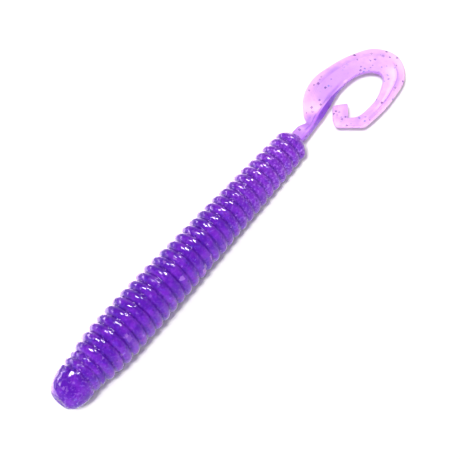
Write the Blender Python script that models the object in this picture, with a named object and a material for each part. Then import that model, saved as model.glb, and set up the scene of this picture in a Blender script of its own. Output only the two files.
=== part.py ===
"""Soft plastic ringed worm with a flat curled tail, lying on its underside.

The worm is one soft moulding. It is built here as the zones between its flex points: a nose, six bands
of rings, a stem and six sections of tail blade, with a narrow gap at each flex point.

The origin is the centre of the flat nose face. +X runs along the body to the tail and +Z is up.
"""

import math

import bmesh
import bpy
from mathutils import Vector

MM = 0.001

# Body, all in millimetres.
RING_PITCH = 2.2
RINGS_PER_BAND = 4
BANDS = 6
NOSE_RINGS = 4
FIRST_RING_X = 9.75
RING_DEPTH = 0.62
CROWN_SHARPNESS = 2.4
RADIUS_MAX = 5.03
RADIUS_FIRST_RING = 4.6
RADIUS_LAST_RING = 3.53
FULL_RADIUS_FROM_X = 15.5
TAPER_FROM_X = 21.5
TAPER_POWER = 1.25

# Nose.
NOSE_FACE_RADIUS = 1.2
HEAD_RADIUS = 3.97
HEAD_ROUND_LENGTH = 4.8
HEAD_END_X = 5.65
COLLAR_RADIUS = 4.25
HEAD_CREASE = 0.2
COLLAR_END_X = 8.25

# Rear end of the body, where the stem leaves it.
REAR_FACE_X = 71.3
REAR_FACE_RADIUS = 2.3
REAR_SHOULDER_RADIUS = 3.3

# Flex points.
FLEX_GAP = 0.3
FLEX_DISH_DEG = 6.5
BLADE_GAP = 0.5

# Tail: centre line x and y, width across, and height of the rib along the inner edge, at each station.
TAIL_STATIONS = (
    (73.0, 0.0, 2.6, 2.4),
    (75.85, -0.1, 2.0, 2.1),
    (78.25, 1.05, 4.0, 2.3),
    (81.15, 2.4, 5.7, 2.2),
    (85.5, 3.4, 6.0, 1.7),
    (89.05, 3.05, 5.4, 1.3),
    (94.15, 1.35, 5.1, 1.1),
    (96.95, -1.05, 5.7, 1.0),
    (97.55, -3.35, 5.7, 1.0),
    (96.45, -5.7, 4.8, 1.0),
    (91.95, -7.7, 3.2, 1.0),
    (86.4, -8.05, 2.4, 1.0),
    (82.05, -7.0, 2.7, 1.0),
    (80.4, -5.0, 3.1, 1.0),
    (83.45, -1.75, 3.1, 0.9),
)
# Where each tail piece ends, counted in stations.
TAIL_PIECES = (
    ("tail_stem", 1.8),
    ("fin_root", 4.0),
    ("fin_middle", 6.0),
    ("curl_outer", 8.5),
    ("curl_return", 10.5),
    ("curl_hook", 12.25),
    ("curl_tip", 14.0),
)
# The hook's outer edge is cut straight between two corners.
HOOK_CORNERS = ((81.95, -8.45), (78.75, -4.4))
HOOK_FROM_STATION = 11.0
STEM_ROOT_RADIUS = 1.4
STEM_ROOT_SCALES = (0.4, 0.8)
STEM_FLATTENS_BY_STATION = 2.0
TAIL_UNDERSIDE_HEIGHT = 2.2
BLADE_THICKNESS = 0.9
OUTER_EDGE_THICKNESS = 0.6
RIB_WIDTH = 1.0
RIB_SLOPE_WIDTH = 0.9
RIB_WIDEST_PART = 0.3
RIB_SIDE_PART = 0.9

SIDES = 24
RING_SAMPLES = (0.0, 0.15, 0.38, 0.62, 0.85)
HEAD_SAMPLES = 5
STEPS_PER_STATION = 4
SLOPE_STEP = 0.01
SMOOTH_ANGLE_DEG = 50

BODY_COLOUR = (0.13, 0.016, 0.42)
BODY_ROUGHNESS = 0.22
TAIL_COLOUR = (0.66, 0.34, 0.88)
TAIL_ROUGHNESS = 0.25
TAIL_ALPHA = 0.85


def clear_scene():
    for item in list(bpy.data.objects):
        bpy.data.objects.remove(item, do_unlink=True)


def moulded_material(name, colour, roughness, alpha):
    material = bpy.data.materials.new(name)
    material.use_nodes = True
    shader = material.node_tree.nodes["Principled BSDF"]
    shader.inputs["Base Color"].default_value = (*colour, 1.0)
    shader.inputs["Roughness"].default_value = roughness
    shader.inputs["Metallic"].default_value = 0.0
    shader.inputs["Alpha"].default_value = alpha
    return material


# ---- body -------------------------------------------------------------------------------------------


def last_ring_x():
    return FIRST_RING_X + RING_PITCH * (NOSE_RINGS + RINGS_PER_BAND * BANDS - 1)


def crest_radius(x):
    """Radius of the ring crests at x: full behind the head, then tapering to the rear."""
    if x < FULL_RADIUS_FROM_X:
        part = (FULL_RADIUS_FROM_X - x) / (FULL_RADIUS_FROM_X - FIRST_RING_X)
        return RADIUS_MAX - (RADIUS_MAX - RADIUS_FIRST_RING) * part**2
    if x < TAPER_FROM_X:
        return RADIUS_MAX
    part = (x - TAPER_FROM_X) / (last_ring_x() - TAPER_FROM_X)
    return RADIUS_MAX - (RADIUS_MAX - RADIUS_LAST_RING) * part**TAPER_POWER


def axis_drop(x):
    """How far the body's axis is below the nose's: the crests all lie on one flat surface."""
    return RADIUS_MAX - crest_radius(max(x, FULL_RADIUS_FROM_X))


def ring_radius(x, phase):
    """Radius at a phase of a ring, 0 and 1 being the grooves and 0.5 the crest."""
    return crest_radius(x) - RING_DEPTH * abs(2 * phase - 1) ** CROWN_SHARPNESS


def ring_profile(first_ring, ring_count):
    """Points (x, radius) over some rings, from groove to groove."""
    points = []
    for ring in range(first_ring, first_ring + ring_count):
        groove_x = FIRST_RING_X + (ring - 0.5) * RING_PITCH
        for phase in RING_SAMPLES:
            x = groove_x + phase * RING_PITCH
            points.append((x, ring_radius(x, phase)))
    end_x = FIRST_RING_X + (first_ring + ring_count - 0.5) * RING_PITCH
    points.append((end_x, ring_radius(end_x, 1.0)))
    return points


def head_profile():
    """The rounded head from the nose face back, and the shallow collar behind it."""
    points = []
    for step in range(HEAD_SAMPLES + 1):
        angle = math.radians(90) * step / HEAD_SAMPLES
        x = HEAD_ROUND_LENGTH * (1 - math.cos(angle))
        radius = NOSE_FACE_RADIUS + (HEAD_RADIUS - NOSE_FACE_RADIUS) * math.sin(angle)
        points.append((x, radius))
    first_groove_x = FIRST_RING_X - RING_PITCH / 2
    points.append((HEAD_END_X, HEAD_RADIUS - HEAD_CREASE))
    points.append(((HEAD_END_X + first_groove_x) / 2, COLLAR_RADIUS - HEAD_CREASE / 2))
    points.append((COLLAR_END_X, COLLAR_RADIUS))
    return points


def flex_x(number):
    """Where the groove of a flex point is along the body."""
    return FIRST_RING_X + (NOSE_RINGS + RINGS_PER_BAND * number - 0.5) * RING_PITCH


def cut_for_flex(profile, x_flex, towards_tail):
    """Cuts a profile back to a dished end whose apex is half a gap from the flex point."""
    side = 1 if towards_tail else -1
    slope = math.tan(math.radians(FLEX_DISH_DEG))

    def clear(point):
        return side * (x_flex - point[0]) >= FLEX_GAP / 2 + point[1] * slope

    kept = [point for point in profile if clear(point)]
    lost = [point for point in profile if not clear(point)]
    inner, outer = (kept[-1], lost[0]) if towards_tail else (kept[0], lost[-1])
    gap_inner = side * (x_flex - inner[0]) - FLEX_GAP / 2 - inner[1] * slope
    gap_outer = side * (x_flex - outer[0]) - FLEX_GAP / 2 - outer[1] * slope
    part = gap_inner / (gap_inner - gap_outer)
    edge = tuple(a + (b - a) * part for a, b in zip(inner, outer))
    return kept + [edge] if towards_tail else [edge] + kept


def turned_solid(name, profile, apex_front, apex_rear, origin, material):
    """A closed solid of rings around the body's axis. An apex is the x of a dished end's centre."""
    mesh = bpy.data.meshes.new(name)
    solid = bmesh.new()
    rings = []
    for x, radius in profile:
        reach = radius / math.cos(math.pi / SIDES)
        ring = []
        for side in range(SIDES):
            angle = 2 * math.pi * (side + 0.5) / SIDES
            place = (x, reach * math.sin(angle), -axis_drop(x) + reach * math.cos(angle))
            ring.append(solid.verts.new(Vector(place) * MM - origin))
        rings.append(ring)
    for front, rear in zip(rings, rings[1:]):
        for side in range(SIDES):
            after = (side + 1) % SIDES
            solid.faces.new((front[side], front[after], rear[after], rear[side]))
    for ring, apex in ((rings[0], apex_front), (rings[-1], apex_rear)):
        if apex is None:
            solid.faces.new(ring)
            continue
        centre = solid.verts.new(Vector((apex, 0, -axis_drop(apex))) * MM - origin)
        for side in range(SIDES):
            solid.faces.new((ring[side], ring[(side + 1) % SIDES], centre))
    bmesh.ops.recalc_face_normals(solid, faces=solid.faces)
    solid.to_mesh(mesh)
    solid.free()
    return finished(name, mesh, origin, material)


def finished(name, mesh, origin, material):
    mesh.shade_smooth()
    mesh.set_sharp_from_angle(angle=math.radians(SMOOTH_ANGLE_DEG))
    mesh.materials.append(material)
    item = bpy.data.objects.new(name, mesh)
    item.location = origin
    bpy.context.scene.collection.objects.link(item)
    return item


def body_point(x):
    return Vector((x, 0, -axis_drop(x))) * MM


def make_nose(material):
    profile = cut_for_flex(head_profile() + ring_profile(0, NOSE_RINGS), flex_x(0), True)
    turned_solid("nose", profile, None, flex_x(0) - FLEX_GAP / 2, Vector(), material)


def make_ring_bands(material):
    for band in range(BANDS):
        profile = ring_profile(NOSE_RINGS + RINGS_PER_BAND * band, RINGS_PER_BAND)
        profile = cut_for_flex(profile, flex_x(band), False)
        apex_front = flex_x(band) + FLEX_GAP / 2
        if band < BANDS - 1:
            profile = cut_for_flex(profile, flex_x(band + 1), True)
            apex_rear = flex_x(band + 1) - FLEX_GAP / 2
        else:
            shoulder_x = (profile[-1][0] + REAR_FACE_X) / 2
            profile += [(shoulder_x, REAR_SHOULDER_RADIUS), (REAR_FACE_X, REAR_FACE_RADIUS)]
            apex_rear = None
        name = f"ring_band_{band + 1}"
        turned_solid(name, profile, apex_front, apex_rear, body_point(flex_x(band)), material)


# ---- tail -------------------------------------------------------------------------------------------


def tail_slopes():
    """How each station's values change along the tail, per millimetre of centre line."""
    lengths = [
        math.dist(a[:2], b[:2]) for a, b in zip(TAIL_STATIONS, TAIL_STATIONS[1:])
    ]
    runs = [
        [(q - p) / length for p, q in zip(a, b)]
        for a, b, length in zip(TAIL_STATIONS, TAIL_STATIONS[1:], lengths)
    ]
    slopes = [runs[0]]
    for i in range(1, len(runs)):
        total = lengths[i - 1] + lengths[i]
        slopes.append(
            [
                (before * lengths[i] + after * lengths[i - 1]) / total
                for before, after in zip(runs[i - 1], runs[i])
            ]
        )
    slopes.append(runs[-1])
    return lengths, slopes


def tail_at(station):
    """Centre x, centre y, width and rib height at a station, by a smooth curve through them all."""
    lengths, slopes = tail_slopes()
    i = min(int(station), len(lengths) - 1)
    u = station - i
    hermite = (
        2 * u**3 - 3 * u**2 + 1,
        (u**3 - 2 * u**2 + u) * lengths[i],
        3 * u**2 - 2 * u**3,
        (u**3 - u**2) * lengths[i],
    )
    rows = (TAIL_STATIONS[i], slopes[i], TAIL_STATIONS[i + 1], slopes[i + 1])
    return [sum(h * v for h, v in zip(hermite, values)) for values in zip(*rows)]


def tail_direction(station):
    before = tail_at(max(station - SLOPE_STEP, 0))
    after = tail_at(min(station + SLOPE_STEP, len(TAIL_STATIONS) - 1))
    return Vector((after[0] - before[0], after[1] - before[1], 0)).normalized()


def trimmed(point, station):
    """Brings a point of the hook in to the straight cut between its corners."""
    if station < HOOK_FROM_STATION:
        return point
    (ax, ay), (bx, by) = HOOK_CORNERS
    outward = Vector((ay - by, bx - ax, 0)).normalized()
    beyond = (point - Vector((ax, ay, point.z))).dot(outward)
    return point - outward * max(0.0, beyond)


def tail_section(station, scale=1.0, shift=0.0):
    """Six points round the blade: the rib stands on its inner, right-hand edge.

    The shift is how far along the tail the section is set from its station, square to it.
    """
    x, y, width, rib = tail_at(station)
    direction = tail_direction(station)
    across = direction.cross(Vector((0, 0, 1)))
    low = TAIL_UNDERSIDE_HEIGHT
    rib_width = min(RIB_WIDTH, width * RIB_WIDEST_PART)
    slope_end = min(rib_width + RIB_SLOPE_WIDTH, width - rib_width)
    stem = max(0.0, 1 - station / STEM_FLATTENS_BY_STATION)
    fin = BLADE_THICKNESS + (rib - BLADE_THICKNESS) * stem
    edge = OUTER_EDGE_THICKNESS + (rib - OUTER_EDGE_THICKNESS) * stem
    outline = (
        (width / 2, low),
        (width / 2, low + rib * RIB_SIDE_PART),
        (width / 2 - rib_width, low + rib),
        (width / 2 - slope_end, low + fin),
        (-width / 2, low + edge),
        (-width / 2, low),
    )
    middle = low + rib / 2
    points = []
    for offset, height in outline:
        height = middle + (height - middle) * scale
        flat = Vector((x, y, height - RADIUS_MAX)) + across * offset * scale
        points.append(trimmed(flat, station) + direction * shift)
    return points


def stem_root_sections():
    """The stem starts in a ball round its own hinge, so that it can swing without touching."""
    sections = []
    for scale in STEM_ROOT_SCALES:
        back = STEM_ROOT_RADIUS * math.sqrt(1 - scale * scale)
        sections.append(tail_section(0, scale, -back))
    return sections


def make_tail_piece(name, start, end, material):
    """A stretch of the tail. Where it meets a neighbour, its end is flat and half a gap short."""
    last = len(TAIL_STATIONS) - 1
    steps = max(2, round((end - start) * STEPS_PER_STATION))
    sections = stem_root_sections() if start == 0 else []
    for step in range(steps + 1):
        shift = 0.0
        if step == 0 and start > 0:
            shift = BLADE_GAP / 2
        if step == steps and end < last:
            shift = -BLADE_GAP / 2
        sections.append(tail_section(start + (end - start) * step / steps, shift=shift))
    origin = tail_joint(start)
    mesh = bpy.data.meshes.new(name)
    solid = bmesh.new()
    loops = [[solid.verts.new(point * MM - origin) for point in s] for s in sections]
    corners = len(loops[0])
    for before, after in zip(loops, loops[1:]):
        for i in range(corners):
            j = (i + 1) % corners
            solid.faces.new((before[i], before[j], after[j], after[i]))
    solid.faces.new(loops[0])
    solid.faces.new(loops[-1])
    bmesh.ops.recalc_face_normals(solid, faces=solid.faces)
    solid.to_mesh(mesh)
    solid.free()
    finished(name, mesh, origin, material)


def tail_joint(station):
    """The middle of the blade at a station, where its hinge is."""
    x, y, _, rib = tail_at(station)
    height = TAIL_UNDERSIDE_HEIGHT + rib / 2
    return Vector((x, y, height - RADIUS_MAX)) * MM


def make_tail(material):
    start = 0.0
    for name, end in TAIL_PIECES:
        make_tail_piece(name, start, end, material)
        start = end


def main():
    clear_scene()
    body = moulded_material("body_violet", BODY_COLOUR, BODY_ROUGHNESS, 1.0)
    tail = moulded_material("tail_lilac", TAIL_COLOUR, TAIL_ROUGHNESS, TAIL_ALPHA)
    make_nose(body)
    make_ring_bands(body)
    make_tail(tail)


main()
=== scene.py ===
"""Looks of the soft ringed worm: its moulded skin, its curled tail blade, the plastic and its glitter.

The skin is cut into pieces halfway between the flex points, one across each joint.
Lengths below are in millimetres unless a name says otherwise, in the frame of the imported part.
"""

import math

import bmesh
import bpy
import numpy as np
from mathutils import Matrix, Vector, noise


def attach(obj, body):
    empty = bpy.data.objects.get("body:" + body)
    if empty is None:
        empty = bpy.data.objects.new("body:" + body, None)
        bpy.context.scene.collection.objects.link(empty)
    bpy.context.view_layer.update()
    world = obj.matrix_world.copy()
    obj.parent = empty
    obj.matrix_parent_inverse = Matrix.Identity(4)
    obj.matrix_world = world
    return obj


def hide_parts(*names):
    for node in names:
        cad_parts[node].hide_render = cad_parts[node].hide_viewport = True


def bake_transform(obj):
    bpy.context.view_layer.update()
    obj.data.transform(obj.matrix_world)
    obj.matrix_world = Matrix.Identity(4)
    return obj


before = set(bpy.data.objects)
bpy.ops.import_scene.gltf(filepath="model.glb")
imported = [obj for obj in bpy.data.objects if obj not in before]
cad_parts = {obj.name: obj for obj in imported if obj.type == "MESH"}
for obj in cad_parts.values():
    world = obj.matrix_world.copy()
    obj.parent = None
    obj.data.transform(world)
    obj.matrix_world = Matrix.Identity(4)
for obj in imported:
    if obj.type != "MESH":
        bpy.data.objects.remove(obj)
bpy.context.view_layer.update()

MM = 0.001

# Body, as the CAD model has it.
RING_PITCH = 2.2
RINGS_PER_BAND = 4
NOSE_RINGS = 4
BANDS = 6
FIRST_RING_X = 9.75
RADIUS_MAX = 5.03
RADIUS_FIRST_RING = 4.6
RADIUS_LAST_RING = 3.53
FULL_RADIUS_FROM_X = 15.5
TAPER_FROM_X = 21.5
TAPER_POWER = 1.25
LAST_RING_X = FIRST_RING_X + RING_PITCH * (NOSE_RINGS + RINGS_PER_BAND * BANDS - 1)
FIRST_GROOVE_X = FIRST_RING_X - RING_PITCH / 2

# Finer shape of the body, which the CAD model has plainer or leaves out.
RING_DEPTH = 0.58
CROWN_SHARPNESS = 2.2
GROOVE_FILLET = 0.1
HEAD_RADIUS = 3.97
HEAD_ROUND_LENGTH = 4.8
HEAD_STRAIGHT_TO_X = 4.9
HEAD_CREASE_X = 5.65
HEAD_CREASE_DEPTH = 0.3
HEAD_LEAN = (-0.29, -0.38)
HEAD_LEAN_END_X = 6.1
COLLAR_CREASE_X = 7.3
COLLAR_BULGE = 0.38
NOSE_RIM_RADIUS = 1.35
NOSE_FACE_RADIUS = 1.0
NOSE_FACE_DEPTH = 0.1
REAR_DOME_LENGTH = 3.0
REAR_DOME_POWER = 1.6
REAR_DOME_KEPT = 0.985

# How far up its ring a plain stretch counts for the painted crest glow and groove shade, from 0 in a
# groove to 1 on a crest.
HEAD_UP = 0.6
CREASE_UP = 0.2
COLLAR_UP = 0.7
REAR_END_UP = 0.4
NOSE_RIM_SHARE = 1 / 3

# How the skin wanders in and out: by how much, noise scale, and shift of the noise.
BROAD_WANDER = (0.05, 0.35, (0.0, 0.0, 0.0))
FINE_WANDER = (0.03, 1.4, (7.0, 3.0, 1.0))
HEAD_WANDER = (0.06, 1.0, (3.0, 9.0, 5.0))
HEAD_WANDERS_TO_X = 10.0

# Tail: centre line x and y, width across, and height of the rib, at each station.
TAIL_STATIONS = (
    (73.0, 0.0, 2.6, 2.4),
    (75.85, -0.1, 2.0, 2.1),
    (78.25, 1.05, 4.0, 2.3),
    (81.15, 2.4, 5.7, 2.05),
    (85.5, 3.4, 6.0, 1.1),
    (89.05, 3.05, 5.4, 0.88),
    (94.15, 1.35, 5.1, 0.88),
    (97.1, -1.2, 6.0, 0.88),
    (97.72, -3.55, 6.0, 0.88),
    (96.55, -5.8, 5.0, 0.88),
    (91.95, -7.7, 3.2, 0.88),
    (86.4, -8.05, 2.4, 0.88),
    (82.05, -7.0, 2.7, 0.88),
    (80.4, -5.0, 3.1, 0.88),
    (83.45, -1.75, 3.1, 0.88),
)
# The tail's bodies in order, with the station where each one ends.
TAIL_BODIES = (
    ("tail_stem", 1.8),
    ("fin_root", 4.0),
    ("fin_middle", 6.0),
    ("curl_outer", 8.5),
    ("curl_return", 10.5),
    ("curl_hook", 12.25),
    ("curl_tip", 14.0),
)
# The hook's outer edge is cut straight between two corners.
HOOK_CORNERS = ((81.87, -8.52), (78.67, -4.47))
HOOK_FROM_STATION = 11.0
# How the blade's surface wanders up and down, and the scale of the noise.
TAIL_WANDER = 0.03
TAIL_WANDER_SCALE = 0.5
TAIL_UNDERSIDE_HEIGHT = 2.2
# The blade stands a little higher than in the CAD model, and a little to one side.
TAIL_LIFT = 0.6
TAIL_LIFT_SHIFT = (-0.25, -0.2)
TAIL_LIFT_BY_STATION = 3.0
BLADE_THICKNESS = 0.85
OUTER_EDGE_THICKNESS = 0.5
RIB_TOP_WIDTH = 0.4
RIB_SLOPE_WIDTH = 0.45
RIB_WIDTH_SHARE = 0.16
RIB_LEAN = 0.45
RIB_LEANS_ABOVE = 0.9
CORNER_SHARE = 0.45
TIP_ROUNDING = 0.25
TIP_STEPS = 8
TIP_NARROWING = 0.16
LEAST_ADVANCE = 0.004
STEM_BEND_REACH = 1.3

# A low ridge along the middle of the curl, and the stations where it rises and where it has sunk.
RIDGE_HEIGHT = 0.2
RIDGE_FOOT = 0.3
RIDGE_FOOT_SHARE = 0.12
RIDGE_FROM_EDGE = 0.34
RIDGE_STATIONS = (8.0, 11.3)

# Round stem: its corners' offsets, as shares of its half width, and their tones go round the section.
# The tones are darker on the rib's side, which is painted shade.
STEM_INSIDE_BODY = 2.8
STEM_ENDS_STATION = 2.3
STEM_CORNER_RADIUS = 0.8
STEM_TOP_RADIUS = 0.1
STEM_OFFSETS = (1.0, 1.0, 0.4, 0.15, -0.1, -0.3, -0.5, -1.0, -1.0)
# Painted shade: the first tone, on the rib's side, is the darkest.
STEM_TONES_WITH_SHADE = (0.7, 0.5, 0.42, 0.4, 0.38, 0.36, 0.36, 0.38, 0.5)

# Tones of the tail, from 0, thin and pale, to 1, the rib's dark side, which is partly painted shade. A
# hump has its middle and its half width, and a step has where it starts and how long it takes, both in
# stations.
PALE_TONE = 0.33
WEB_TONE = 0.27
WEB_PALER_AT_ROOT = 0.24
ROOT_HUMP = (2.5, 0.6)
WEB_PALER_IN_CURL = 0.09
CURL_STEP = (4.5, 3.0)
DEEP_SHADED_SIDE_TONE = 0.32
SIDE_DEEPER_SHADED_AT_ROOT = 0.63
SIDE_STEP = (4.7, -0.5)
CREST_CHANGE = 0.15
CREST_DARKER_ABOVE = (1.3, 0.5)
# A painted highlight: the crest paler round one station.
PAINTED_CREST_HIGHLIGHT = (5.0, 0.15)
# Shares of the web's tone beside the ridge and on it, where there is none and where it is full.
# Beside a full ridge the pale strip is a painted highlight.
BESIDE_RIDGE_PAINTED_HIGHLIGHT = (0.85, 0.1)
ON_RIDGE = (0.75, 1.25)
PAST_RIDGE = 0.6
OUTER_EDGE = 0.2

# Mesh density.
AROUND_BODY = 144
SAMPLES_PER_RING = 18
HEAD_STEPS = 26
STEPS_PER_STATION = 16
CORNER_SAMPLES = (0.0, 0.25, 0.5, 0.75, 1.0)

# Camera, in metres and degrees.
CAMERA_TARGET = (0.04829, -0.0011, -0.00503)
CAMERA_DISTANCE = 0.2592
CAMERA_ELEVATION = 62.0
CAMERA_AZIMUTH = -51.76
CAMERA_LENS = 103.7
CAMERA_SENSOR_WIDTH = 36.0
CAMERA_CLIP = (0.01, 20.0)

# Light from around, by elevation.
HORIZON_TOP_DEG = 8.0
SKY_FROM_DEG = 25.0
HORIZON_COLOUR = (1.0, 1.0, 1.0, 1.0)
SKY_COLOUR = (0.29, 0.25, 0.25, 1.0)

# Floor, in metres.
FLOOR_REACH = 3.0
FLOOR_LEVEL = -RADIUS_MAX * MM
FLOOR_COLOUR = (0.95, 0.975, 0.90, 1.0)
FLOOR_ROUGHNESS = 0.9

# Lamps that light surfaces: azimuth, elevation and width in degrees, and strength.
FAR_LAMPS = {
    "soft_key": (192.0, 66.0, 10.7, 2.64),
    "soft_fill": (218.0, 62.0, 14.3, 0.35),
}
# Round lamps that only make glints: azimuth, elevation, distance and size in metres, and power.
GLINT_COLOUR = (1.0, 0.78, 0.95)
GLINT_LAMPS = {
    "glint_left": (84.0, 65.0, 0.6, 0.17, 4.8),
    "glint_right": (13.5, 47.0, 0.6, 0.17, 4.8),
}
# Sheets of light that only make glints: middle and size in metres, way they face, and radiance.
CARD_LAMPS = {
    "edge_card": ((0.045, 0.0158, FLOOR_LEVEL + 0.0002), (0.13, 0.0205), (0, 0, 1), 4.0),
    "side_strip": ((-0.08, 0.5, 0.095), (0.4, 0.035), (0.15, -1, -0.18), 20.0),
}

# Colours of the body's plastic.
VIOLET = (0.10, 0.0075, 0.43)
VIOLET_CLOUD = (0.17, 0.017, 0.54)
VIOLET_REAR = (0.26, 0.045, 0.60)
# Painted light: a glow of light coming through the thin crests at the flanks.
VIOLET_PAINTED_CREST_GLOW = (0.28, 0.09, 0.62)
# Painted shade in the grooves, the creases and the nose's recessed face.
VIOLET_PAINTED_GROOVE_SHADE = (0.05, 0.004, 0.27)
MAGENTA_STREAK = (0.27, 0.02, 0.42)
BLUE_STREAK = (0.09, 0.03, 0.58)
LIGHT_GRAIN = (0.46, 0.19, 0.80)
DARK_GRAIN = (0.07, 0.008, 0.32)
DARK_FLAKE = (0.04, 0.006, 0.22)
BLUE_FLAKE = (0.22, 0.12, 0.86)
PINK_FLAKE = (0.60, 0.30, 0.85)
# Painted glints, as wide pale pink blotches.
BLOTCH_PAINTED_GLINT = (0.55, 0.25, 0.80)

# Colours of the tail's plastic, from thin to thick, the rib's side also darker by painted shade, and of
# its specks.
LILAC_THIN = (0.95, 0.56, 0.90)
LILAC_WEB = (0.58, 0.28, 0.87)
LILAC_CREST = (0.46, 0.17, 0.83)
# The rib's side: deep plastic, darkened further by painted shade.
LILAC_DEEP_SHADED_SIDE = (0.28, 0.085, 0.74)
DARK_SPECK = (0.17, 0.05, 0.38)
BLUE_SPECK = (0.20, 0.16, 0.66)

# Where the body's colour and relief change: from none of the change to all of it.
# The flanks are where the painted crest glow and the magenta streaks show.
FLANK_FROM_MIDDLE = (3.3, 4.9)
REAR_X = (40.0, 66.0)
HEAD_X = (14.0, 4.0)
BLOTCHES_X = (10.0, 14.0)
LUMPY_HEAD_X = (11.0, 8.0)

# Flakes: shares of the given size, softness of the edge, and how faint the deep ones get.
FLAKE_SMALLEST = 0.5
FLAKE_SPREAD = 0.6
FLAKE_EDGE = 0.12
FLAKE_DEPTH_SHARE = 0.4


# ---- body shape ---------------------------------------------------------------------------------------


def crest_radius(x):
    """Radius of the ring crests at x: full behind the head, then tapering to the rear."""
    if x < FULL_RADIUS_FROM_X:
        part = (FULL_RADIUS_FROM_X - x) / (FULL_RADIUS_FROM_X - FIRST_RING_X)
        return RADIUS_MAX - (RADIUS_MAX - RADIUS_FIRST_RING) * part**2
    if x < TAPER_FROM_X:
        return RADIUS_MAX
    part = (x - TAPER_FROM_X) / (LAST_RING_X - TAPER_FROM_X)
    return RADIUS_MAX - (RADIUS_MAX - RADIUS_LAST_RING) * part**TAPER_POWER


def axis_drop(x):
    """How far the body's axis is below the nose's, since all the crests lie on the floor."""
    return RADIUS_MAX - crest_radius(max(x, FULL_RADIUS_FROM_X))


def bulge(phase):
    """A rounded bump from 0 at phases 0 and 1 to 1 at 0.5, with a fillet where bumps meet."""
    raw = 1 - abs(2 * phase - 1) ** CROWN_SHARPNESS
    full = math.sqrt(1 + GROOVE_FILLET**2) - GROOVE_FILLET
    return (math.sqrt(raw * raw + GROOVE_FILLET**2) - GROOVE_FILLET) / full


def smooth(value):
    """From 0 at 0 to 1 at 1, easing in and out, and level outside."""
    value = min(max(value, 0.0), 1.0)
    return value * value * (3 - 2 * value)


def between(a, b, part):
    return a + (b - a) * part


def body_station(x):
    """Radius, and how far up its ring a point is, from 0 in a groove to 1 on a crest."""
    if x < HEAD_CREASE_X:
        dip = smooth((x - HEAD_STRAIGHT_TO_X) / (HEAD_CREASE_X - HEAD_STRAIGHT_TO_X))
        return HEAD_RADIUS - HEAD_CREASE_DEPTH * dip, between(HEAD_UP, CREASE_UP, dip)
    first_groove = crest_radius(FIRST_GROOVE_X) - RING_DEPTH
    if x < FIRST_GROOVE_X:
        part = (x - HEAD_CREASE_X) / (FIRST_GROOVE_X - HEAD_CREASE_X)
        low = HEAD_RADIUS - HEAD_CREASE_DEPTH
        base = between(low, first_groove, part)
        if x < COLLAR_CREASE_X:
            up = bulge((x - HEAD_CREASE_X) / (COLLAR_CREASE_X - HEAD_CREASE_X))
        else:
            up = bulge((x - COLLAR_CREASE_X) / (FIRST_GROOVE_X - COLLAR_CREASE_X))
        return base + COLLAR_BULGE * up, between(CREASE_UP, COLLAR_UP, up)
    if x < LAST_RING_X:
        phase = ((x - FIRST_GROOVE_X) / RING_PITCH) % 1
        up = bulge(phase)
        return crest_radius(x) - RING_DEPTH * (1 - up), up
    part = (x - LAST_RING_X) / REAR_DOME_LENGTH
    return RADIUS_LAST_RING * (1 - part**REAR_DOME_POWER), between(1, REAR_END_UP, part)


def head_lean(x):
    """How far the soft head sags to one side and down from the body's axis."""
    part = max(0.0, 1 - x / HEAD_LEAN_END_X)
    return HEAD_LEAN[0] * part, HEAD_LEAN[1] * part


def nose_stations():
    """(x, radius, height up the ring) from the middle of the nose face round to the head's side."""
    stations = []
    for step in range(HEAD_STEPS // 2):
        part = step / (HEAD_STEPS // 2)
        radius = NOSE_RIM_RADIUS * part
        edge = smooth((radius - NOSE_FACE_RADIUS) / (NOSE_RIM_RADIUS - NOSE_FACE_RADIUS))
        # The recessed nose face gets 0, so the painted groove shade darkens it.
        stations.append((NOSE_FACE_DEPTH * (1 - edge), radius, edge))
    for step in range(HEAD_STEPS + 1):
        angle = math.radians(90) * step / HEAD_STEPS
        x = HEAD_ROUND_LENGTH * (1 - math.cos(angle))
        radius = NOSE_RIM_RADIUS + (HEAD_RADIUS - NOSE_RIM_RADIUS) * math.sin(angle)
        past_rim = smooth(step / (HEAD_STEPS * NOSE_RIM_SHARE))
        stations.append((x, radius, between(1, HEAD_UP, past_rim)))
    return stations


def body_stations(start, end):
    """Evenly spaced stations from x = start to x = end, both included."""
    count = max(2, round((end - start) / RING_PITCH * SAMPLES_PER_RING))
    places = [start + (end - start) * i / count for i in range(count + 1)]
    return [(x, *body_station(x)) for x in places]


def wander(kind, place):
    size, scale, shift = kind
    return size * noise.noise(place * scale + Vector(shift))


def uneven(place):
    """A soft moulding is never quite true: a gentle wander in or out, the same each run."""
    near_nose = smooth(2 * (1 - place.x / HEAD_WANDERS_TO_X))
    head = near_nose * wander(HEAD_WANDER, place)
    return wander(BROAD_WANDER, place) + wander(FINE_WANDER, place) + head


def body_surface(stations):
    """Points, and values up the ring, on a grid of stations by angles."""
    points = np.zeros((len(stations), AROUND_BODY, 3))
    heights = np.zeros((len(stations), AROUND_BODY))
    for i, (x, radius, up) in enumerate(stations):
        lean_y, lean_z = head_lean(x)
        for j in range(AROUND_BODY):
            angle = 2 * math.pi * j / AROUND_BODY
            side, top = math.sin(angle), math.cos(angle)
            in_or_out = uneven(Vector((x, radius * side, radius * top))) * min(1.0, radius)
            reach = max(0.0, radius + in_or_out)
            z = max(reach * top - axis_drop(x) + lean_z, -RADIUS_MAX)
            points[i, j] = (x, reach * side + lean_y, z)
            heights[i, j] = up
    return points, heights


# ---- tail shape ---------------------------------------------------------------------------------------


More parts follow.
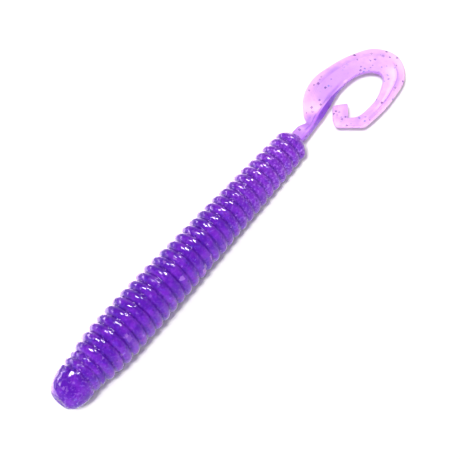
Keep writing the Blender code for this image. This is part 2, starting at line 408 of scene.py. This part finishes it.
def tail_at(station):
    """Centre x, centre y, width and rib height at a station, by a smooth curve through them all."""
    i = min(int(station), len(TAIL_STATIONS) - 2)
    u = station - i
    length = LENGTHS[i]
    hermite = (
        2 * u**3 - 3 * u**2 + 1,
        (u**3 - 2 * u**2 + u) * length,
        3 * u**2 - 2 * u**3,
        (u**3 - u**2) * length,
    )
    rows = (TAIL_STATIONS[i], SLOPES[i], TAIL_STATIONS[i + 1], SLOPES[i + 1])
    return [sum(h * v for h, v in zip(hermite, values)) for values in zip(*rows)]


def tail_slopes():
    """Length of each stretch between stations, and how fast each value changes at each station."""
    pairs = list(zip(TAIL_STATIONS, TAIL_STATIONS[1:]))
    lengths = [math.dist(a[:2], b[:2]) for a, b in pairs]
    runs = [[(q - p) / n for p, q in zip(a, b)] for (a, b), n in zip(pairs, lengths)]
    slopes = [runs[0]]
    for i in range(1, len(runs)):
        total = lengths[i - 1] + lengths[i]
        row = [
            (before * lengths[i] + after * lengths[i - 1]) / total
            for before, after in zip(runs[i - 1], runs[i])
        ]
        slopes.append(row)
    slopes.append(runs[-1])
    return lengths, slopes


LENGTHS, SLOPES = tail_slopes()


def tail_direction(station):
    step = 0.01
    before = tail_at(max(station - step, 0))
    after = tail_at(min(station + step, len(TAIL_STATIONS) - 1))
    return Vector((after[0] - before[0], after[1] - before[1], 0)).normalized()


def trimmed(point, station):
    """Brings a point of the hook in to the straight cut between its corners."""
    if station < HOOK_FROM_STATION:
        return point
    (ax, ay), (bx, by) = HOOK_CORNERS
    outward = Vector((ay - by, bx - ax, 0)).normalized()
    beyond = (point - Vector((ax, ay, point.z))).dot(outward)
    return point - outward * max(0.0, beyond)


def hump(station, middle, half_width):
    """1 at a middle station, and down to 0 on both sides of it."""
    return math.exp(-(((station - middle) / half_width) ** 2))


def step_at(value, start, length):
    """0 on one side of a start and 1 past a length; a negative length runs the other way."""
    return smooth((value - start) / length)


def blade_tones(station, rib):
    """Tones of the web, of the rib's side, partly painted shade, and of the rib's crest, with a painted
    highlight near one station.
    """
    web = WEB_TONE - WEB_PALER_AT_ROOT * hump(station, *ROOT_HUMP)
    web -= WEB_PALER_IN_CURL * step_at(station, *CURL_STEP)
    # The rib's side: deep plastic, and painted shade on the side away from the light.
    side = DEEP_SHADED_SIDE_TONE + SIDE_DEEPER_SHADED_AT_ROOT * step_at(station, *SIDE_STEP)
    crest = web + CREST_CHANGE * step_at(rib, *CREST_DARKER_ABOVE)
    # Painted highlight on the crest near one station.
    crest -= CREST_CHANGE * hump(station, *PAINTED_CREST_HIGHLIGHT)
    return web, side, crest


def blade_corners(station, width, rib):
    """Corners of the tail's cross-section, going round from the bottom of the ribbed inner edge.

    A row is: offset across, height, corner radius, tone of the side that follows, points along that
    side. A tone is how deep the plastic looks there, from 0, thin and pale, to 1, the rib's dark side,
    which is partly painted shade; the pale strip beside a full ridge is a painted highlight.
    """
    half = width / 2
    lean = RIB_LEAN * max(rib - RIB_LEANS_ABOVE, 0.0)
    top_width = min(RIB_TOP_WIDTH, width * RIB_WIDTH_SHARE)
    slope_width = min(RIB_SLOPE_WIDTH, width * RIB_WIDTH_SHARE)
    web, side, crest = blade_tones(station, rib)
    risen = smooth(station - RIDGE_STATIONS[0]) * smooth(RIDGE_STATIONS[1] - station)
    ridge_x = -half + width * RIDGE_FROM_EDGE
    foot = min(RIDGE_FOOT, width * RIDGE_FOOT_SHARE)
    fin = BLADE_THICKNESS
    outer = OUTER_EDGE_THICKNESS
    past_foot = between(fin, outer, foot / (ridge_x + half))
    # Beside a full ridge, a pale painted highlight line.
    painted_highlight_beside_ridge = web * between(*BESIDE_RIDGE_PAINTED_HIGHLIGHT, risen)
    on_ridge = web * between(*ON_RIDGE, risen)
    blade = (
        (half, 0.0, 0.12, side, 3),
        (half - lean, rib, 0.14, crest, 1),
        (half - lean - top_width, rib, 0.16, crest, 1),
        (half - lean - top_width - slope_width, fin, 0.3, web, 4),
        (ridge_x + foot, fin, 0.2, painted_highlight_beside_ridge, 0),
        (ridge_x, fin + RIDGE_HEIGHT * risen, 0.14, on_ridge, 0),
        (ridge_x - foot, past_foot, 0.2, PAST_RIDGE * web, 4),
        (-half, outer, 0.22, OUTER_EDGE * web, 1),
        (-half, 0.0, 0.12, web, 8),
    )
    stem = smooth(1 - station / STEM_ENDS_STATION)
    last = len(blade) - 1
    rows = []
    for i, (*shape, count) in enumerate(blade):
        stem_height = 0.0 if i in (0, last) else rib
        stem_radius = STEM_CORNER_RADIUS if i in (0, 1, last - 1, last) else STEM_TOP_RADIUS
        stem_shape = (STEM_OFFSETS[i] * half, stem_height, stem_radius, STEM_TONES_WITH_SHADE[i])
        rows.append((*(between(a, b, stem) for a, b in zip(shape, stem_shape)), count))
    return rows


def fades(row, next_tone):
    """Whether a side's tone changes evenly along it; a dark side stays dark up to its edge."""
    return max(row[3], next_tone) < PALE_TONE


def rounded_outline(rows):
    """Points (offset, height, tone) round a section whose corners are rounded off."""
    outline = []
    for i, (offset, height, radius, tone, count) in enumerate(rows):
        corner = Vector((offset, height))
        before, after = rows[i - 1], rows[(i + 1) % len(rows)]
        back = Vector(before[:2]) - corner
        ahead = Vector(after[:2]) - corner
        reach = min(radius, CORNER_SHARE * back.length, CORNER_SHARE * ahead.length)
        start = corner + back.normalized() * reach
        end = corner + ahead.normalized() * reach
        tone_before = tone if fades(before, tone) else before[3]
        for t in CORNER_SAMPLES:
            point = start * (1 - t) ** 2 + corner * 2 * t * (1 - t) + end * t**2
            outline.append((point.x, point.y, between(tone_before, tone, t)))
        next_reach = min(after[2], CORNER_SHARE * ahead.length)
        stop = Vector(after[:2]) - ahead.normalized() * next_reach
        tone_after = after[3] if fades(rows[i], after[3]) else tone
        for step in range(1, count + 1):
            part = step / (count + 1)
            point = end.lerp(stop, part)
            outline.append((point.x, point.y, between(tone, tone_after, part)))
    return outline


def blade_section(station, scale=1.0):
    """A ring of points round the tail at a station, and the tone of each."""
    x, y, width, rib = tail_at(max(station, 0))
    direction = tail_direction(max(station, 0))
    across = direction.cross(Vector((0, 0, 1)))
    lifted = smooth(station / TAIL_LIFT_BY_STATION)
    centre = Vector((x, y, 0)) + Vector((*TAIL_LIFT_SHIFT, 0)) * lifted
    if station < 0:
        centre += direction * STEM_INSIDE_BODY * station
    points, tones = [], []
    for offset, height, tone in rounded_outline(blade_corners(max(station, 0), width, rib)):
        height = between(rib / 2, height, scale)
        point = centre + across * offset * scale
        point.z = TAIL_UNDERSIDE_HEIGHT + TAIL_LIFT * lifted + height - RADIUS_MAX
        point.z += TAIL_WANDER * noise.noise(point * TAIL_WANDER_SCALE) * min(1.0, height)
        points.append(trimmed(point, station))
        tones.append(tone)
    return points, tones, direction


def tail_surface():
    """Stations, points and tones of the whole tail, from inside the body to the tip."""
    last = len(TAIL_STATIONS) - 1
    stations = [i / STEPS_PER_STATION for i in range(-STEPS_PER_STATION, last * STEPS_PER_STATION)]
    rounding = TIP_ROUNDING / LENGTHS[-1]
    stations = [(s, 1.0) for s in stations if s < last - rounding]
    for step in range(TIP_STEPS + 1):
        angle = math.radians(90) * step / TIP_STEPS
        scale = 1 - TIP_NARROWING * (1 - math.cos(angle))
        stations.append((last - rounding * (1 - math.sin(angle)), scale))
    kept, tones = [], []
    for station, scale in stations:
        points, row_tones, direction = blade_section(station, scale)
        if kept:
            points = unfolded(points, kept[-1], direction)
        kept.append(points)
        tones.append(row_tones)
    return [s for s, _ in stations], np.array(kept), np.array(tones)


def unfolded(points, before, direction):
    """Holds back a point that would fall behind the one before it, on the inside of a tight bend."""
    held = []
    for point, earlier in zip(points, before):
        advance = (point - earlier).dot(direction)
        held.append(point if advance >= LEAST_ADVANCE else earlier + direction * LEAST_ADVANCE)
    return held


# ---- meshes -------------------------------------------------------------------------------------------


def grid_piece(name, points, values, material, close_start=False, close_end=False):
    """A tube of quads over a grid of points, with its rest place and a value kept for the material."""
    rows, around = values.shape
    faces = []
    for i in range(rows - 1):
        for j in range(around):
            after = (j + 1) % around
            faces.append(
                (i * around + j, i * around + after, (i + 1) * around + after, (i + 1) * around + j)
            )
    if close_start:
        faces.append(tuple(range(around - 1, -1, -1)))
    if close_end:
        faces.append(tuple(range((rows - 1) * around, rows * around)))
    mesh = bpy.data.meshes.new(name)
    flat = points.reshape(-1, 3)
    mesh.from_pydata((flat * MM).tolist(), [], faces)
    place = mesh.attributes.new("rest_mm", "FLOAT_VECTOR", "POINT")
    place.data.foreach_set("vector", flat.astype(np.float32).ravel())
    value = mesh.attributes.new("build", "FLOAT", "POINT")
    value.data.foreach_set("value", values.astype(np.float32).ravel())
    mesh.materials.append(material)
    mesh.validate()
    mesh.shade_smooth()
    piece = bpy.data.objects.new(name, mesh)
    bpy.context.scene.collection.objects.link(piece)
    outward(piece)
    return piece


def outward(piece):
    """Turns a piece's faces to point away from its middle line."""
    shape = bmesh.new()
    shape.from_mesh(piece.data)
    bmesh.ops.recalc_face_normals(shape, faces=shape.faces)
    shape.to_mesh(piece.data)
    shape.free()
    piece.data.shade_smooth()


# ---- materials ----------------------------------------------------------------------------------------


class Nodes:
    """Short ways to add and join shader nodes in one material."""

    def __init__(self, material):
        material.use_nodes = True
        self.tree = material.node_tree
        self.shader = self.tree.nodes["Principled BSDF"]

    def add(self, kind, **settings):
        node = self.tree.nodes.new("ShaderNode" + kind)
        for name, value in settings.items():
            setattr(node, name, value)
        return node

    def join(self, source, target):
        self.tree.links.new(source, target)

    def attribute(self, name):
        return self.add("Attribute", attribute_name=name)

    def maths(self, operation, a, b=None, c=None, clamp=False):
        node = self.add("Math", operation=operation, use_clamp=clamp)
        for socket, value in zip(node.inputs, (a, b, c)):
            if value is None:
                continue
            if isinstance(value, (int, float)):
                socket.default_value = value
            else:
                self.join(value, socket)
        return node.outputs[0]

    def scaled(self, value, times, plus=0.0):
        """The value times a number, plus a number or another value."""
        return self.maths("MULTIPLY_ADD", value, times, plus)

    def both(self, a, b):
        return self.maths("MULTIPLY", a, b)

    def mix(self, factor, a, b):
        node = self.add("Mix", data_type="RGBA")
        for socket, value in ((node.inputs[0], factor), (node.inputs[6], a), (node.inputs[7], b)):
            if isinstance(value, tuple):
                socket.default_value = (*value, 1.0)
            elif isinstance(value, (int, float)):
                socket.default_value = value
            else:
                self.join(value, socket)
        return node.outputs[2]

    def ramp(self, factor, low, high):
        """0 below low, 1 above high, smooth between."""
        node = self.add("MapRange", interpolation_type="SMOOTHSTEP")
        self.join(factor, node.inputs["Value"])
        node.inputs["From Min"].default_value = low
        node.inputs["From Max"].default_value = high
        return node.outputs["Result"]

    def noise(self, place, scale, detail=2.0):
        node = self.add("TexNoise")
        self.join(place, node.inputs["Vector"])
        node.inputs["Scale"].default_value = scale
        node.inputs["Detail"].default_value = detail
        return node

    def separate(self, place):
        node = self.add("SeparateXYZ")
        self.join(place, node.inputs[0])
        return node.outputs

    def moved(self, place, shift):
        """The place moved, so that a noise taken there is unlike the others."""
        node = self.add("VectorMath", operation="ADD")
        self.join(place, node.inputs[0])
        node.inputs[1].default_value = shift
        return node.outputs[0]

    def ragged(self, place, scale, amount):
        """The place, pushed about by noise, so that shapes drawn from it come out uneven."""
        push = self.add("VectorMath", operation="MULTIPLY_ADD")
        self.join(self.noise(place, scale).outputs["Color"], push.inputs[0])
        push.inputs[1].default_value = (amount, amount, amount)
        self.join(place, push.inputs[2])
        return push.outputs[0]

    def flakes(self, place, spacing, size, share):
        """Glitter: how strongly a flake shows at a place, its random colour, and that colour's parts.

        Each cell of the spacing holds one flake at most. Some are deep in the plastic and look faint.
        """
        cells = self.add("TexVoronoi", distance="CHEBYCHEV")
        self.join(place, cells.inputs["Vector"])
        cells.inputs["Scale"].default_value = 1 / spacing
        split = self.add("SeparateColor")
        self.join(cells.outputs["Color"], split.inputs[0])
        reach = size / spacing
        edge = self.scaled(split.outputs[1], times=FLAKE_SPREAD * reach, plus=FLAKE_SMALLEST * reach)
        near = self.maths("SUBTRACT", edge, cells.outputs["Distance"])
        inside = self.ramp(near, 0.0, FLAKE_EDGE * reach)
        depth = self.ramp(split.outputs[0], share, FLAKE_DEPTH_SHARE * share)
        return self.both(inside, depth), cells.outputs["Color"], split.outputs

    def flake_normal(self, base, colour, mask, tilt):
        """The surface's normal, tipped a random way where a flake is."""
        random = self.add("VectorMath", operation="SUBTRACT")
        self.join(colour, random.inputs[0])
        random.inputs[1].default_value = (0.5, 0.5, 0.5)
        scaled = self.add("VectorMath", operation="SCALE")
        self.join(random.outputs[0], scaled.inputs[0])
        self.join(self.scaled(mask, times=tilt), scaled.inputs["Scale"])
        tipped = self.add("VectorMath", operation="ADD")
        self.join(base, tipped.inputs[0])
        self.join(scaled.outputs[0], tipped.inputs[1])
        normal = self.add("VectorMath", operation="NORMALIZE")
        self.join(tipped.outputs[0], normal.inputs[0])
        return normal.outputs[0]

    def bump(self, height, strength, distance_mm):
        node = self.add("Bump")
        node.inputs["Strength"].default_value = strength
        node.inputs["Distance"].default_value = distance_mm * MM
        self.join(height, node.inputs["Height"])
        return node.outputs[0]

    def set(self, **values):
        for name, value in values.items():
            socket = self.shader.inputs[name.replace("_", " ")]
            if isinstance(value, (int, float, tuple)):
                socket.default_value = value
            else:
                self.join(value, socket)


def body_plastic():
    """Deep violet soft plastic full of glitter, with a painted glow on the thin flank crests, painted
    groove shade and painted glints.
    """
    material = bpy.data.materials.new("violet_plastisol")
    n = Nodes(material)
    place = n.attribute("rest_mm").outputs["Vector"]
    up = n.attribute("build").outputs["Fac"]
    along, across, _ = n.separate(place)
    flank = n.ramp(n.maths("ABSOLUTE", across), *FLANK_FROM_MIDDLE)
    rear = n.ramp(along, *REAR_X)
    ends = n.maths("MAXIMUM", rear, n.scaled(n.ramp(along, *HEAD_X), times=0.4))

    # Clouds and streaks in the plastic, a painted glow of light through the crests at the flanks, and
    # painted shade in the grooves.
    cloud = n.noise(place, scale=0.5, detail=4.0).outputs["Fac"]
    streak = n.noise(n.moved(place, (40.0, 0.0, 0.0)), scale=1.1, detail=3.0).outputs["Fac"]
    base = n.mix(n.ramp(cloud, low=0.42, high=0.62), VIOLET, VIOLET_CLOUD)
    base = n.mix(n.scaled(rear, times=0.6), base, VIOLET_REAR)
    # Painted light: crests at the flanks lighter, standing in for light coming through the thin plastic.
    crest = n.both(n.ramp(up, low=0.6, high=0.95), flank)
    base = n.mix(n.scaled(crest, times=0.4), base, VIOLET_PAINTED_CREST_GLOW)
    # Painted shade: darker in the grooves, the creases and the nose's recessed face, where shade falls.
    groove = n.ramp(up, low=0.45, high=0.1)
    base = n.mix(n.scaled(groove, times=0.45), base, VIOLET_PAINTED_GROOVE_SHADE)
    magenta = n.both(n.ramp(streak, low=0.56, high=0.7), n.scaled(flank, times=0.6))
    base = n.mix(magenta, base, MAGENTA_STREAK)
    blue = n.ramp(streak, low=0.44, high=0.34)
    base = n.mix(n.scaled(blue, times=0.35), base, BLUE_STREAK)

    # A fine grain, stronger at both ends of the body.
    grain = n.noise(n.moved(place, (0.0, 60.0, 0.0)), scale=2.2, detail=1.0).outputs["Fac"]
    light_grain = n.both(n.ramp(grain, low=0.54, high=0.66), n.scaled(ends, times=0.35, plus=0.08))
    dark_grain = n.both(n.ramp(grain, low=0.44, high=0.34), n.scaled(ends, times=0.4, plus=0.1))
    base = n.mix(light_grain, base, LIGHT_GRAIN)
    base = n.mix(dark_grain, base, DARK_GRAIN)

    # Glitter: small dark and pale flakes, and a few wide pale blotches, which are painted glints.
    uneven_place = n.ragged(place, scale=1.8, amount=0.35)
    pale, tint, parts = n.flakes(uneven_place, spacing=0.85, size=0.26, share=0.26)
    pale = n.both(pale, n.scaled(ends, times=0.1, plus=0.3))
    dark_place = n.moved(uneven_place, (11.3, 7.9, 21.5))
    dark, _, _ = n.flakes(dark_place, spacing=0.7, size=0.18, share=0.4)
    pale_colour = n.mix(n.ramp(parts[2], low=0.35, high=0.75), BLUE_FLAKE, PINK_FLAKE)
    colour = n.mix(n.scaled(dark, times=0.6), base, DARK_FLAKE)
    colour = n.mix(pale, colour, pale_colour)
    # Painted glints: wide pale pink blotches in the colour, where big flakes would catch the light.
    blotch_place = n.moved(n.ragged(place, scale=1.2, amount=0.9), (31.0, 17.0, 5.0))
    painted_glint_blotch, _, _ = n.flakes(blotch_place, spacing=2.6, size=0.75, share=0.4)
    painted_glint_blotch = n.both(painted_glint_blotch, n.scaled(n.ramp(along, *BLOTCHES_X), times=0.45))
    colour = n.mix(painted_glint_blotch, colour, BLOTCH_PAINTED_GLINT)

    # Relief that breaks the glints up, stronger on the head.
    peel = n.noise(place, scale=1.5, detail=4.0).outputs["Fac"]
    lumps = n.noise(n.moved(place, (0.0, 0.0, 30.0)), scale=1.2, detail=0.0).outputs["Fac"]
    lumps = n.both(lumps, n.scaled(n.ramp(along, *LUMPY_HEAD_X), times=1.5, plus=1.0))
    relief = n.scaled(peel, times=0.25, plus=lumps)
    skin = n.bump(relief, strength=1.0, distance_mm=0.05)
    n.set(
        Base_Color=colour,
        Normal=n.flake_normal(skin, tint, pale, tilt=0.7),
        Roughness=n.scaled(peel, times=0.10, plus=0.06),
        IOR=1.40,
        Subsurface_Weight=0.3,
        Subsurface_Radius=(0.9, 0.3, 1.3),
        Subsurface_Scale=0.0006,
    )
    return material


def tail_plastic():
    """The same plastic where it is thin: pale lilac, violet in the thick rib, whose side also has painted
    shade, with painted highlights on the rib and ridge, and scattered specks.
    """
    material = bpy.data.materials.new("lilac_plastisol")
    n = Nodes(material)
    place = n.attribute("rest_mm").outputs["Vector"]
    tone = n.attribute("build").outputs["Fac"]
    cloud = n.noise(place, scale=0.4, detail=3.0).outputs["Fac"]
    tone = n.maths("ADD", tone, n.scaled(cloud, times=0.28, plus=-0.14), clamp=True)
    colour = n.mix(n.ramp(tone, low=0.0, high=0.24), LILAC_THIN, LILAC_WEB)
    colour = n.mix(n.ramp(tone, low=0.26, high=0.5), colour, LILAC_CREST)
    colour = n.mix(n.ramp(tone, low=0.48, high=0.92), colour, LILAC_DEEP_SHADED_SIDE)
    uneven_place = n.ragged(place, scale=1.5, amount=0.4)
    speck, _, parts = n.flakes(uneven_place, spacing=0.8, size=0.27, share=0.4)
    patches = n.ramp(n.noise(place, scale=0.22, detail=1.0).outputs["Fac"], low=0.36, high=0.6)
    speck = n.both(speck, n.scaled(patches, times=0.6, plus=0.4))
    speck_colour = n.mix(n.ramp(parts[2], low=0.6, high=0.7), DARK_SPECK, BLUE_SPECK)
    colour = n.mix(speck, colour, speck_colour)
    peel = n.noise(place, scale=1.1, detail=3.0).outputs["Fac"]
    n.set(
        Base_Color=colour,
        Normal=n.bump(peel, strength=0.05, distance_mm=0.3),
        Roughness=n.scaled(peel, times=0.2, plus=0.25),
        Specular_IOR_Level=0.2,
        IOR=1.48,
        Subsurface_Weight=0.4,
        Subsurface_Radius=(1.0, 0.6, 1.2),
        Subsurface_Scale=0.0008,
    )
    return material


# ---- building -----------------------------------------------------------------------------------------


def flex_x(number):
    return FIRST_RING_X + (NOSE_RINGS + RINGS_PER_BAND * number - 0.5) * RING_PITCH


def build_body(material):
    """A piece that rides on the nose, one across each body joint, and one that rides on the last band."""
    half = RING_PITCH * RINGS_PER_BAND / 2
    head = nose_stations() + body_stations(HEAD_ROUND_LENGTH, flex_x(0) - half)[1:]
    piece = grid_piece("skin_nose", *body_surface(head), material, close_start=True)
    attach(piece, "nose")
    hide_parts("nose")
    for band in range(BANDS):
        start, end = flex_x(band) - half, flex_x(band) + half
        name = f"skin_band_{band + 1}"
        piece = grid_piece(name, *body_surface(body_stations(start, end)), material)
        child = f"ring_band_{band + 1}"
        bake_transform(piece)
        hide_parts(child)
    rear = body_stations(flex_x(BANDS - 1) + half, LAST_RING_X + REAR_DOME_LENGTH * REAR_DOME_KEPT)
    piece = grid_piece("skin_rear", *body_surface(rear), material, close_end=True)
    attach(piece, f"ring_band_{BANDS}")


def tail_point(station):
    x, y = tail_at(station)[:2]
    return Vector((x, y, TAIL_UNDERSIDE_HEIGHT - RADIUS_MAX)) * MM


def build_tail(material):
    """A piece across each tail joint, from the middle of one body to the middle of the next."""
    stations, points, tones = tail_surface()
    starts = [0.0] + [end for _, end in TAIL_BODIES[:-1]]
    middles = [(a + b) / 2 for a, (_, b) in zip(starts, TAIL_BODIES)]
    cuts = [0] + [int(np.searchsorted(stations, middle)) for middle in middles] + [len(stations) - 1]
    parents = [f"ring_band_{BANDS}"] + [name for name, _ in TAIL_BODIES]
    for i, (first, last) in enumerate(zip(cuts, cuts[1:])):
        rows = slice(first, last + 1)
        name = f"blade_{i}" if i < len(TAIL_BODIES) else "blade_tip"
        ends = {"close_start": i == 0, "close_end": i == len(TAIL_BODIES)}
        piece = grid_piece(name, points[rows], tones[rows], material, **ends)
        if i == len(TAIL_BODIES):
            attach(piece, parents[i])
            continue
        child = TAIL_BODIES[i][0]
        near, far = tail_point(max(stations[first], 0)), tail_point(stations[last])
        if i == 0:
            near = near - Vector((STEM_BEND_REACH, 0, 0)) * MM
            far = near + Vector((2 * STEM_BEND_REACH, 0, 0)) * MM
            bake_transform(piece)
        else:
            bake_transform(piece)
        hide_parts(child)


# ---- stage --------------------------------------------------------------------------------------------


def build_floor():
    mesh = bpy.data.meshes.new("floor")
    signs = ((-1, -1), (1, -1), (1, 1), (-1, 1))
    corners = [(x * FLOOR_REACH, y * FLOOR_REACH, FLOOR_LEVEL) for x, y in signs]
    mesh.from_pydata(corners, [], [(0, 1, 2, 3)])
    material = bpy.data.materials.new("white_sweep")
    n = Nodes(material)
    n.set(Base_Color=FLOOR_COLOUR, Roughness=FLOOR_ROUGHNESS)
    mesh.materials.append(material)
    floor = bpy.data.objects.new("floor", mesh)
    bpy.context.scene.collection.objects.link(floor)


def aimed_lamp(data, azimuth, elevation, distance):
    """Puts a lamp where the middle of the object sees it at an azimuth from +X and an elevation."""
    lamp = bpy.data.objects.new(data.name, data)
    turn, lift = math.radians(azimuth), math.radians(elevation)
    flat = math.cos(lift)
    towards = Vector((math.cos(turn) * flat, math.sin(turn) * flat, math.sin(lift)))
    lamp.location = Vector(CAMERA_TARGET) + towards * distance
    lamp.rotation_mode = "QUATERNION"
    lamp.rotation_quaternion = towards.to_track_quat("Z", "Y")
    bpy.context.scene.collection.objects.link(lamp)
    return lamp


def far_lamp(name, azimuth, elevation, width_deg, strength):
    """A wide, far lamp that lights surfaces evenly, out to the floor's edge, and makes no highlights."""
    data = bpy.data.lights.new(name, "SUN")
    data.angle = math.radians(width_deg)
    data.energy = strength
    lamp = aimed_lamp(data, azimuth, elevation, distance=1.0)
    lamp.visible_glossy = False


def disk_lamp(name, azimuth, elevation, distance, size, power):
    """A round lamp that only makes highlights."""
    data = bpy.data.lights.new(name, "AREA")
    data.shape = "DISK"
    data.size = size
    data.energy = power
    data.color = GLINT_COLOUR
    lamp = aimed_lamp(data, azimuth, elevation, distance)
    lamp.visible_diffuse = False


def card_lamp(name, middle, size, facing, radiance):
    """A glossy-only sheet of light, which the camera doesn't see: it makes pale edges and long glints."""
    data = bpy.data.lights.new(name, "AREA")
    data.shape = "RECTANGLE"
    data.size, data.size_y = size
    data.energy = radiance * math.pi * data.size * data.size_y
    data.color = GLINT_COLOUR
    lamp = bpy.data.objects.new(name, data)
    lamp.location = middle
    lamp.rotation_mode = "QUATERNION"
    lamp.rotation_quaternion = Vector(facing).to_track_quat("-Z", "Y")
    lamp.visible_camera = False
    lamp.visible_diffuse = False
    bpy.context.scene.collection.objects.link(lamp)


def build_world():
    """A white horizon with a dimmer sky above, as round a light table."""
    world = bpy.data.worlds.new("studio")
    world.use_nodes = True
    tree = world.node_tree
    background = tree.nodes["Background"]
    place = tree.nodes.new("ShaderNodeTexCoord")
    split = tree.nodes.new("ShaderNodeSeparateXYZ")
    tree.links.new(place.outputs["Generated"], split.inputs[0])
    fade = tree.nodes.new("ShaderNodeMapRange")
    tree.links.new(split.outputs[2], fade.inputs["Value"])
    fade.inputs["From Min"].default_value = math.sin(math.radians(HORIZON_TOP_DEG))
    fade.inputs["From Max"].default_value = math.sin(math.radians(SKY_FROM_DEG))
    tint = tree.nodes.new("ShaderNodeMix")
    tint.data_type = "RGBA"
    tree.links.new(fade.outputs["Result"], tint.inputs[0])
    tint.inputs[6].default_value = HORIZON_COLOUR
    tint.inputs[7].default_value = SKY_COLOUR
    tree.links.new(tint.outputs[2], background.inputs["Color"])
    background.inputs["Strength"].default_value = 1.0
    bpy.context.scene.world = world


def build_lights():
    build_world()
    for name, values in FAR_LAMPS.items():
        far_lamp(name, *values)
    for name, values in GLINT_LAMPS.items():
        disk_lamp(name, *values)
    for name, values in CARD_LAMPS.items():
        card_lamp(name, *values)
    bpy.context.scene.view_settings.view_transform = "Standard"


def build_camera():
    data = bpy.data.cameras.new("camera")
    data.lens = CAMERA_LENS
    data.sensor_width = CAMERA_SENSOR_WIDTH
    data.clip_start, data.clip_end = CAMERA_CLIP
    camera = bpy.data.objects.new("camera", data)
    azimuth, elevation = math.radians(CAMERA_AZIMUTH), math.radians(CAMERA_ELEVATION)
    back = Vector(
        (
            math.sin(azimuth) * math.cos(elevation),
            -math.cos(azimuth) * math.cos(elevation),
            math.sin(elevation),
        )
    )
    camera.location = Vector(CAMERA_TARGET) + back * CAMERA_DISTANCE
    camera.rotation_mode = "QUATERNION"
    camera.rotation_quaternion = (-back).to_track_quat("-Z", "Y")
    bpy.context.scene.collection.objects.link(camera)
    bpy.context.scene.camera = camera


build_camera()
build_body(body_plastic())
build_tail(tail_plastic())
build_floor()
build_lights()
